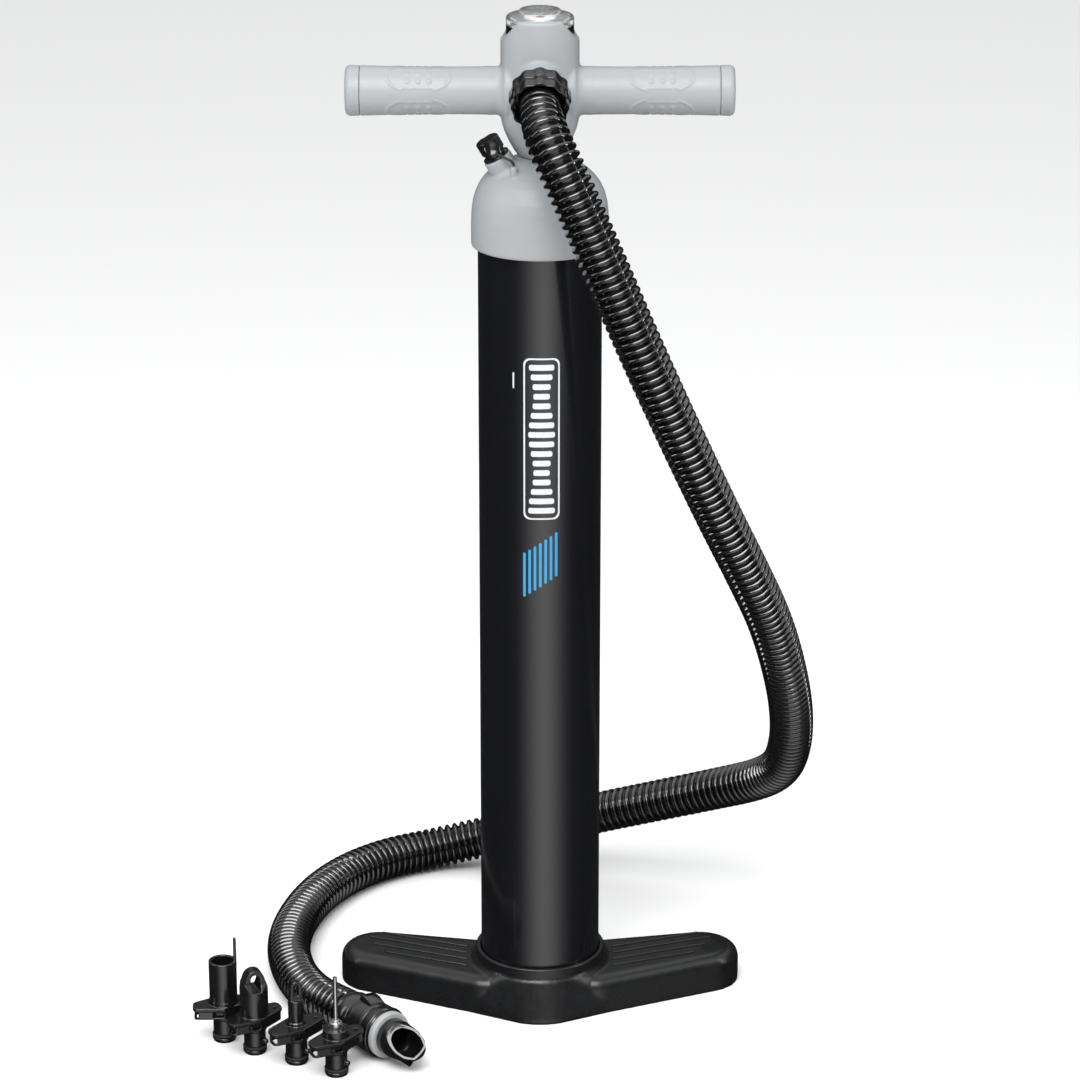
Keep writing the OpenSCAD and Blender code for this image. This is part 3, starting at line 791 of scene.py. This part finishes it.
def make_tether():
    """The thin strap from the plug's neck down to the lug."""
    corners = ((-26.5, -15.9, 561.8), (-24.5, -18.5, 562), (-20, -21.6, 560.5), (-15.5, -22.5, 556.5))
    route = [Vector(p) for p in corners]
    line, _ = resampled(smooth_line(route, Vector((0.5, -1, 0)), Vector((0, 0, -1)), 0.5, 12), 0.6)

    def radius(i, k):
        return 0.55 if k % 8 in (0, 4) else 0.85

    strap = tube("tether_strap", rings_along(line, radius, 16, Vector((0, 1, 0))), 16)
    dress(strap, rubber, "plug", ["plug_tether"])


make_dome()
make_plug()
make_tether()


# --- handle ---


def socket_frame(side):
    """Placement whose +Z runs out along one grip."""
    turn = Matrix.Rotation(math.radians(90 * side), 4, "Y")
    return Matrix.Translation((0, 0, GRIP_Z)) @ turn


def make_hub():
    """The hub: a pot for the gauge that runs into the two grip sockets and the hose boss."""
    pot = [(0, HUB_LOW), (12.6, HUB_LOW), (13.1, HUB_LOW + 0.5), (15.6, 561), (18.6, 566.5), (21.6, 573)]
    pot += [(23.2, 578.5), (23.75, 583), (23.75, HUB_TOP), (0, HUB_TOP)]
    parts = [solid_of_revolution("pot", pot, sides=128), rod("boss", 13.2, 14, 31.5, PORT)]
    for side in (-1, 1):
        flare = [(0, 10), (19.5, 10), (19.5, 21.5)] + arc(19.5, 26.5, 5, -90, -180, 8) + [(14.75, 31)]
        flare += [(14.4, 33), (13.6, 35.5), (0, 35.5)]
        parts.append(solid_of_revolution("socket", flare, socket_frame(side)))
    hub = fused("hub", parts, 0.8, 14)
    cutters = [
        rod("gauge_pocket", 20.6, 620, 660, sides=128),
        rod("rod_hole", 10, HUB_LOW - 2, HUB_LOW + 24),
        rod("chamber", 11, HUB_LOW + 23.9, 606),
        rod("pin_hole", 2, 600, 622, sides=24),
        rod("port_bore", 9, 10, 40, PORT),
    ]
    for side in (-1, 1):
        slope = ((11.9, 644), (22.5, 629.6), (34, 627), (34, 644))
        cutters.append(hull("wedge", [(side * x, y, z) for y in (-40, 40) for x, z in slope]))
        cutters.append(rod("core_bore", 9, 16, 38, socket_frame(side)))
    cut(hub, *cutters)
    dress(applied(soften(hub, 0.6, 2)), light_plastic, "handle", ["hub_body"])


def emboss(x, around):
    """Height of the grip's raised pattern: two facing arcs round dots and dashes."""

    def raised(height, reach, out, fade):
        return height * min(1, max(0, (out - reach) / fade))

    heights = []
    for row in (-1, 1):
        for column in (-1, 0, 1):
            dot = math.hypot(x - 6.5 * column, around - 2.6 * row)
            heights.append(raised(0.4, dot, 1.75, 0.6))
        for middle in (-9, -4.5, 0, 4.5, 9):
            dash = max(abs(x - middle) - 1.3, abs(around - 7.0 * row) - 0.1)
            heights.append(raised(0.3, dash, 0.7, 0.5))
    if abs(x) > 9:
        edge = abs(math.hypot(x / 19, around / 9.5) - 1) * 13
        heights.append(raised(0.38, edge, 0.9, 0.5))
    return max(heights)


def make_grip(side, name, node):
    """One waisted grip with its pattern at four places round it."""
    waist = [(30, 14.5), (45, 14.3), (62, 14.2), (80, 14.35), (96, 14.75), (SEAM_X, 15.1)]
    sides, step, bore, pattern_x = 176, 0.5, 9, 73
    place = socket_frame(side)

    def base(x):
        for (x0, r0), (x1, r1) in zip(waist, waist[1:]):
            if x <= x1:
                return r0 + (r1 - r0) * (x - x0) / (x1 - x0)
        return waist[-1][1]

    def point(r, x, a):
        quarter = (math.degrees(a) + 45) % 90 - 45
        tall = r + emboss(x - pattern_x, math.radians(quarter) * r)
        return place @ Vector((tall * math.cos(a + math.pi / 4), tall * math.sin(a + math.pi / 4), x))

    count = round((SEAM_X - GRIP_INNER) / step)
    rows = [ring(bore, GRIP_INNER, place, sides)]
    for i in range(count + 1):
        x = GRIP_INNER + step * i
        chamfer = 0.35 if i == count else 0
        rows.append([point(base(x) - chamfer, x, a) for a in turns(sides)])
    rows.append(ring(bore, SEAM_X, place, sides))
    dress(loft(name, rows), light_plastic, "handle", [node])


def make_grip_end(side, name, node):
    """The cap that closes a grip: a fine groove, a barrel-shaped wall and a dished face."""
    outline = [(0, 104.2), (8.8, 104.2), (8.8, 108.2), (14.6, 108.2), (15.1, 108.6), (15.2, 113)]
    outline += arc(11.9, 113.6, 3.4, 0, 90, 8)
    outline += [(10.5, GRIP_END - 0.25), (9.5, GRIP_END - 0.5), (0, GRIP_END - 0.7)]
    cap = solid_of_revolution(name, outline, socket_frame(side))
    dress(cap, light_plastic, "handle", [node])


make_hub()
for side, word in ((-1, "left"), (1, "right")):
    make_grip(side, "grip_shell_" + word, "grip_" + word)
    make_grip_end(side, "grip_cap_" + word, "grip_end_" + word)


# --- gauge ---


def make_lens():
    """The clear lens: a rounded rim with a raised round window."""
    base = low("gauge_lens").z
    outline = [(18.2, base), (20.1, base), (20.4, base + 0.3)] + arc(18.2, 641.4, 2.2, 0, 70, 7)
    outline += [(15, 644.6), (13.2, 645.0)] + arc(11.4, 646, 1, 0, 90, 5) + [(0, 647), (0, 645)]
    outline += [(10.6, 645), (11, 641.9), (17.4, 641.6), (18.2, 640.8)]
    dress(revolve("gauge_window", outline), lens_clear, "handle", ["gauge_lens"])


def make_dial_marks():
    """Printed scale: long and short ticks and a red arc for high pressure."""
    ticks = []
    face = high("gauge_dial").z
    for i in range(31):
        long = i % 5 == 0
        place = Matrix.Translation((0, 0, face)) @ Matrix.Rotation(math.radians(225 - 9 * i), 4, "Z")
        ticks.append(box("tick", (12.8 if long else 14.2, -0.22, -0.02), (16, 0.22, 0.06), place))
    band = [(16.4, face), (16.7, face), (16.7, face + 0.06), (16.4, face + 0.06)]
    ticks.append(revolve("scale_ring", band))
    dress(joined("dial_scale", ticks), dial_ink, "handle")
    zone = []
    for i in range(16):
        place = Matrix.Translation((0, 0, face)) @ Matrix.Rotation(math.radians(25 - 4.5 * i), 4, "Z")
        zone.append(box("zone", (11.2, -0.46, -0.02), (12.3, 0.46, 0.05), place))
    dress(joined("dial_zone", zone), needle_red, "handle")
    cap = [(1.3, 637.3), (2.6, 637.3)] + arc(2.0, 637.9, 0.6, 0, 90, 4) + [(1.3, 638.5)]
    dress(revolve("needle_hub", cap), dial_ink, "needle")


make_lens()
make_dial_marks()


# --- hose nut ---


def make_nut():
    """The scalloped nut in two steps, dished in front where the hose comes out."""
    lobes, wave = 12, 0.55
    wall = arc(17.0, 34, 1.0, -90, 0, 4) + arc(17.2, 41.2, 0.8, 0, 90, 4)
    wall += [(16.9, 42.1), (16.8, 43)] + arc(16.3, 48.9, 0.6, 0, 90, 4) + [(15.9, 49.4)]
    dish = [(15.5, 48.9), (15.4, 44.0), (15.5, 43.2), (16.3, 43.2)]
    outline = [(16.3, 33, 0)] + [(r, z, wave) for r, z in wall] + [(r, z, 0) for r, z in dish]
    rows = []
    for r, z, depth in outline:
        row = []
        for a in turns(180):
            wide = r + depth * math.cos(lobes * a)
            row.append(PORT @ Vector((wide * math.cos(a), wide * math.sin(a), z)))
        rows.append(row)
    dress(loft("scalloped_nut", rows), black_plastic, "nut", ["hose_nut"])


make_nut()


# --- nozzle ---


def make_nozzle():
    """The end fitting's ribbed sleeve, flanged body and grey ring."""
    cuff = [(9.5, 0), (13.4, 0)] + arc(13.8, 1.2, 0.8, -90, 90, 4) + [(13.3, 3)]
    cuff += arc(14.4, 4.6, 1, -90, 0, 4)
    cuff += [(15.4, 11.5), (14.9, 12.2), (14.9, 14), (12, 14), (12, 11), (9.5, 11)]
    sleeve = revolve("nozzle_sleeve", cuff, NOZZLE)
    dress(sleeve, black_plastic, "barrel", ["nozzle_cuff"])

    body = [(7.5, 11), (12, 11), (12, 30), (15.2, 30)] + arc(15.5, 30.8, 0.5, -90, 0, 3) + [(15.8, 33)]
    body += arc(15.5, 36, 1, 0, 80, 4) + [(15.4, 37.6), (15.2, 38), (11.8, 38), (11.8, 42.5), (12, 43)]
    body += [(12, 50), (7.5, 50)]
    flange = revolve("nozzle_flange", body, NOZZLE)
    dress(flange, black_plastic, "barrel", ["nozzle_body"])

    seal = [(11.8, 38), (14.6, 38)] + arc(14.3, 39.0, 0.8, -70, 0, 3) + arc(14.1, 41.5, 1.0, 0, 90, 4)
    seal += [(13.2, 42.5), (12.4, 42.45), (11.8, 42.5)]
    dress(revolve("nozzle_ring", seal, NOZZLE), grey_seal, "barrel", ["nozzle_seal"])


def make_collar():
    """The twist collar, with a slotted thumb tab on one side."""
    outline = [(12.05, 14.3), (15.1, 14.3)] + arc(15.0, 15.3, 1, -90, 0, 4)
    outline += [(16, 17), (15.5, 17.4), (15.6, 26), (16, 26.4)]
    outline += arc(15.2, 28.9, 0.8, 0, 90, 4) + [(12.05, 29.7)]
    place = NOZZLE @ Matrix.Rotation(math.radians(82), 4, "Z")
    side_view = ((13, 5.5, 15), (18.4, 5.1, 15.4), (18.8, 4.7, 16), (18.8, 4.7, 20.5))
    side_view += ((18.3, 5.1, 21.2), (15.2, 5.5, 27.5), (13, 5.5, 27.5))
    block = [place @ Vector((x, y * side, z)) for x, y, z in side_view for side in (-1, 1)]
    tab = cut(hull("tab", block), box("slot", (16.9, -3.2, 16.8), (20, 3.2, 19.6), place))
    collar = joined("twist_collar", [revolve("ring", outline, NOZZLE), tab])
    dress(collar, black_plastic, "collar", ["nozzle_collar"])


def make_beak():
    """The thin open scoop at the nozzle's end, cut at a slant, with a small hook under it."""
    shell = [(0, 71), (6, 70), (9, 65.5), (10.7, 60), (11.5, 54), (11.8, 50), (9.4, 50), (10.1, 54)]
    shell += [(9.5, 60), (7.9, 64.9), (5.3, 69), (0, 69.9)]
    slant = NOZZLE @ Matrix.Rotation(math.radians(124), 4, "Z") @ Matrix.Translation((0, 0, 66.5))
    slant = slant @ Matrix.Rotation(math.radians(55), 4, "Y")
    scoop = cut(revolve("scoop", shell, NOZZLE), box("slant", (-40, -40, 0), (40, 40, 40), slant))
    hook_corners = [(-2.6, -12.4, 64.5)]
    for x in (-3.4, -0.4):
        hook_corners += [(x, -11.2, 50.5), (x, -9.8, 50.5)]
    for x in (-3, -0.8):
        hook_corners += [(x, -11.6, 63), (x, -9.4, 65.5)]
    hook = hull("hook", [NOZZLE @ Vector(p) for p in hook_corners])
    dress(joined("beak", [scoop, hook]), black_plastic, "barrel", ["nozzle_beak"])


make_nozzle()
make_collar()
make_beak()


# --- CAD nodes that stay: softer edges and their materials ---

SOFTENED = {
    "adaptor_1": (0.36, 2),
    "adaptor_2": (0.36, 2),
    "adaptor_3": (0.36, 2),
    "adaptor_4": (0.36, 2),
    "hose_cuff": (0.5, 3),
    "needle_collar": (0.2, 2),
}
SURFACES = {
    barrel_gloss: ["barrel_tube"],
    black_plastic: [
        "bottom_cap", "head_plate", "grip_cores", "gauge_housing", "hose_port", "hose_cuff",
        "adaptor_1", "adaptor_2", "adaptor_3", "adaptor_4",
    ],
    rubber: [
        "sole_pads", "bottom_seal", "bottom_disc", "head_seal", "head_disc", "rod_wiper", "plug_rings",
        "piston_seal", "valve_seat", "outlet_disc", "port_gasket",
        "adaptor_1_seal", "adaptor_2_seal", "adaptor_3_seal", "adaptor_4_seal",
    ],
    light_plastic: ["piston_head"],
    white_plastic: ["rod_bushing", "wear_ring"],
    steel: ["base_screws", "disc_retainer", "needle_collar", "inflation_needle"],
    tube_metal: ["rod_tube", "inner_tube"],
    brass: ["piston_nut"],
    dial_white: ["gauge_dial"],
    needle_red: ["gauge_needle"],
}

for surface, names in SURFACES.items():
    for name in names:
        node = frame["nodes"][name]
        node.data.materials.clear()
        node.data.materials.append(surface)
        smooth(node, 30)
for name, (voxel, rounds) in SOFTENED.items():
    node = soften(frame["nodes"][name], voxel, rounds)
    node.modifiers["skin"].use_smooth_shade = True
